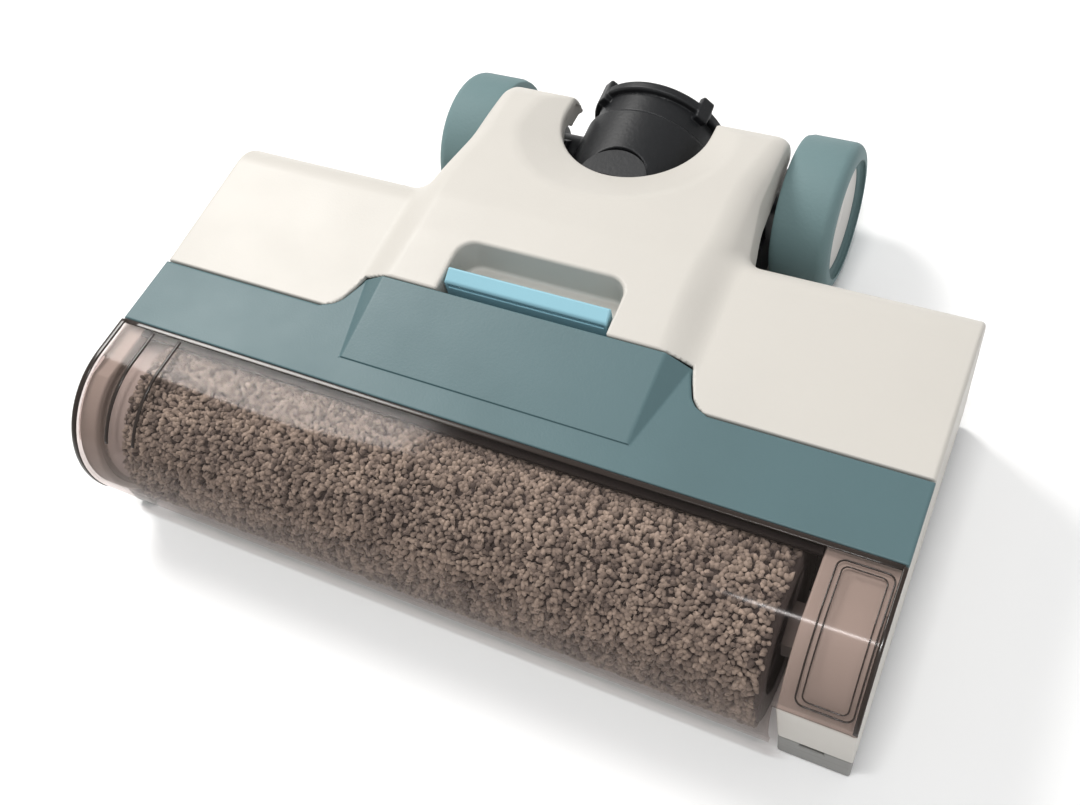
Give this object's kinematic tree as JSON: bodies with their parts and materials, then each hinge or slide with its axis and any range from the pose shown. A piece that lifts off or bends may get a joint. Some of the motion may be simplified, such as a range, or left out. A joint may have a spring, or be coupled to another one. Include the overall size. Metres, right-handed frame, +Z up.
{
  "type": "wet dry floor scrubber head",
  "caption": "Powered floor head of a wet dry floor scrubber: microfibre roller under a smoked window, belt drive, lift-off cover with latch, rear wheels and tilting neck socket.",
  "frame": {"origin": "on the floor under the middle of the whole head's box", "axes": "+X along the roller to the belt end, -Y to the front (the roller side), +Y to the wheels and neck, +Z up"},
  "size_m": [0.296, 0.2382, 0.0774],
  "materials": {
    "white_shell": "satin warm white",
    "grey_plastic": "matte dark grey",
    "black_plastic": "satin black",
    "teal_plastic": "satin blue green",
    "latch_blue": "satin light blue",
    "window_clear": "smoked clear",
    "nap": "microfibre pile",
    "tube_plastic": "plain",
    "rubber_black": "matte",
    "tyre_teal": "soft satin",
    "cap_white": "satin",
    "steel": "ground",
    "bronze": "sintered",
    "silicone": "clear silicone",
    "board_green": "solder mask",
    "wire_red": "wire sheath",
    "gold": "plated"
  },
  "bodies": {
    "head": {"upper_housing": "white_shell", "base_plate": "grey_plastic", "end_block_left": "white_shell", "end_block_right": "white_shell", "end_foot_right": "grey_plastic", "roller_chamber": "black_plastic", "scraper_blade": "rubber_black", "rear_squeegee": "rubber_black", "spray_bar": "tube_plastic", "water_tube": "silicone", "suction_duct": "grey_plastic", "bellows_hose": "rubber_black", "motor_can": "steel", "motor_bracket": "steel", "motor_screws": "steel", "drive_belt": "rubber_black", "drive_bearing": "bronze", "stub_bearing": "bronze", "latch_springs": "steel", "control_board": "board_green", "wire_harness": "wire_red", "housing_screws": "steel", "axle_bracket_left": "black_plastic", "axle_bracket_right": "black_plastic", "axle_left": "steel", "axle_right": "steel", "wheel_clips": "steel", "caster_pins": "steel", "tilt_pins": "steel"},
    "roller": {"roller_core": "tube_plastic", "roller_nap": "nap", "roller_drive_plug": "grey_plastic", "roller_end_cap": "cap_white", "drive_coupling": "grey_plastic", "drive_shaft": "steel", "large_pulley": "black_plastic"},
    "motor_rotor": {"motor_shaft": "steel", "small_pulley": "black_plastic"},
    "cover": {"cover_shell": "teal_plastic", "window": "window_clear", "window_seal": "rubber_black"},
    "latch": {"latch_bar": "latch_blue"},
    "wheel_left": {"tyre_left": "tyre_teal", "hub_left": "cap_white", "wheel_cap_left": "cap_white"},
    "wheel_right": {"tyre_right": "tyre_teal", "hub_right": "cap_white", "wheel_cap_right": "cap_white"},
    "caster_roller_left": {"caster_left": "grey_plastic"},
    "caster_roller_right": {"caster_right": "grey_plastic"},
    "neck": {"neck_barrel": "black_plastic", "detent_cap": "black_plastic"},
    "socket": {"neck_collar": "black_plastic", "collar_clip": "steel", "contact_block": "grey_plastic", "contact_pins": "gold"}
  },
  "joints": [
    {"name": "roller_spin", "type": "hinge", "parent": "head", "child": "roller", "pos_m": [0, -0.0837, 0.0336], "axis": [1, 0, 0], "continuous": true},
    {"name": "motor_spin", "type": "hinge", "parent": "head", "child": "motor_rotor", "pos_m": [0, -0.0037, 0.038], "axis": [1, 0, 0], "continuous": true},
    {"name": "wheel_left_spin", "type": "hinge", "parent": "head", "child": "wheel_left", "pos_m": [-0.074, 0.0891, 0.03], "axis": [1, 0, 0], "continuous": true},
    {"name": "wheel_right_spin", "type": "hinge", "parent": "head", "child": "wheel_right", "pos_m": [0.074, 0.0891, 0.03], "axis": [1, 0, 0], "continuous": true},
    {"name": "caster_left_spin", "type": "hinge", "parent": "head", "child": "caster_roller_left", "pos_m": [-0.096, -0.0281, 0.006], "axis": [1, 0, 0], "continuous": true},
    {"name": "caster_right_spin", "type": "hinge", "parent": "head", "child": "caster_roller_right", "pos_m": [0.096, -0.0281, 0.006], "axis": [1, 0, 0], "continuous": true},
    {"name": "neck_tilt", "type": "hinge", "parent": "head", "child": "neck", "pos_m": [0, 0.0843, 0.0369], "axis": [1, 0, 0], "range_deg": [0, 74], "deforming": ["bellows_hose"]},
    {"name": "socket_turn", "type": "hinge", "parent": "neck", "child": "socket", "pos_m": [0, 0.09422, 0.03819], "axis": [0, 0.9917, 0.1288], "range_deg": [-20, 20]},
    {"name": "latch_slide", "type": "slide", "parent": "head", "child": "latch", "axis": [0, 1, 0], "range_m": [0, 0.0035], "stiffness_N_per_m": 600, "springref_m": -0.002, "deforming": ["latch_springs"]},
    {"name": "cover_lift", "type": "slide", "parent": "head", "child": "cover", "axis": [0, -0.4226, 0.9063], "range_m": [0, 0.08]}
  ],
  "couplings": [
    {"joint": "motor_spin", "follows": "roller_spin", "ratio": 2.4}
  ]
}
